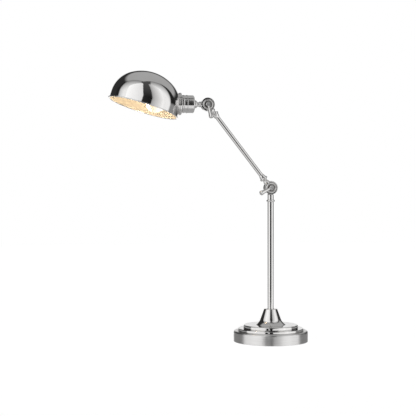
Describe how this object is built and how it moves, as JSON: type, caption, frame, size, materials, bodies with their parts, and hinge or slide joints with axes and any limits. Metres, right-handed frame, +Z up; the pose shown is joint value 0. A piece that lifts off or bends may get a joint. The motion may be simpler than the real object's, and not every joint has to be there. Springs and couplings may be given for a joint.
{
  "type": "swing arm desk lamp",
  "caption": "Desk lamp with a weighted round base, upright stem, friction-knuckle swing arm, lever handles and a tilting dome shade with its bulb.",
  "frame": {"origin": "centre of the base's underside, on the table", "axes": "+Z up along the stem, the arm reaches towards -X, the lever handles face -Y"},
  "size_m": [0.4785, 0.1799, 0.6415],
  "materials": {
    "felt": "felt",
    "brushed_nickel": "brushed",
    "polished_nickel": "polished",
    "shade_metal": "polished outside, cream enamel inside",
    "cast_weight": "as cast",
    "zinc_steel": "zinc plated",
    "brass": "turned",
    "black_rubber": "moulded",
    "wire_sleeve": "extruded",
    "fibre": "pressed fibre",
    "liner": "insulating board",
    "porcelain": "glazed",
    "bulb_envelope": "frosted, lit",
    "cap_insulator": "glass insulator"
  },
  "bodies": {
    "base": {"felt_pad": "felt", "base_cover": "brushed_nickel", "base_weight": "cast_weight", "lower_step_plate": "polished_nickel", "upper_step_plate": "polished_nickel", "flared_collar": "polished_nickel", "stem_nipple": "brass", "clamp_washer": "zinc_steel", "clamp_nut": "zinc_steel", "cord_grommet": "black_rubber", "stem_bush": "brass", "stem_tube": "polished_nickel", "stem_collar": "polished_nickel", "stem_lead": "wire_sleeve"},
    "swivel": {"elbow_stem_half": "polished_nickel", "swivel_clip": "zinc_steel", "elbow_washer": "fibre", "elbow_nut": "polished_nickel"},
    "arm": {"elbow_arm_half": "polished_nickel", "arm_lower_collar": "polished_nickel", "arm_tube": "polished_nickel", "arm_upper_collar": "polished_nickel", "arm_lead": "wire_sleeve", "head_arm_half": "polished_nickel", "head_washer": "fibre", "head_nut": "polished_nickel"},
    "elbow_handle": {"elbow_lever": "polished_nickel", "elbow_screw": "zinc_steel", "elbow_spring": "zinc_steel"},
    "head": {"head_socket_half": "polished_nickel", "socket_neck": "polished_nickel", "neck_nipple": "brass", "neck_nut": "zinc_steel"},
    "head_handle": {"head_lever": "polished_nickel", "head_screw": "zinc_steel", "head_spring": "zinc_steel"},
    "lamp_head": {"socket_cap": "brushed_nickel", "socket_shell": "brushed_nickel", "socket_liner": "liner", "socket_body": "porcelain", "terminal_screws": "brass", "screw_shell": "brass", "centre_contact": "brass", "fitter_ring": "polished_nickel", "shade_collar": "polished_nickel", "shade": "shade_metal", "shade_nut": "polished_nickel", "bulb_glass": "bulb_envelope", "bulb_cap": "brass", "bulb_tip": "cap_insulator"},
    "switch": {"switch_key": "polished_nickel"}
  },
  "joints": [
    {"name": "arm_swing", "type": "hinge", "parent": "base", "child": "swivel", "pos_m": [0, 0, 0.34], "axis": [0, 0, 1], "range_deg": [-165, 165]},
    {"name": "elbow_tilt", "type": "hinge", "parent": "swivel", "child": "arm", "pos_m": [0, 0, 0.3685], "axis": [0, 1, 0], "range_deg": [-55, 45]},
    {"name": "elbow_lever_turn", "type": "hinge", "parent": "arm", "child": "elbow_handle", "pos_m": [0, 0, 0.3685], "axis": [0, 1, 0], "range_deg": [-40, 40]},
    {"name": "head_tilt", "type": "hinge", "parent": "arm", "child": "head", "pos_m": [-0.15391, 0, 0.5655], "axis": [0, 1, 0], "range_deg": [-70, 60]},
    {"name": "head_lever_turn", "type": "hinge", "parent": "head", "child": "head_handle", "pos_m": [-0.15391, 0, 0.5655], "axis": [0, 1, 0], "range_deg": [-40, 40]},
    {"name": "shade_roll", "type": "hinge", "parent": "head", "child": "lamp_head", "pos_m": [-0.15391, 0, 0.5655], "axis": [-1, 0, 0], "range_deg": [-80, 80]},
    {"name": "switch_turn", "type": "hinge", "parent": "lamp_head", "child": "switch", "pos_m": [-0.19851, 0, 0.5655], "axis": [0, 1, 0], "continuous": true}
  ]
}
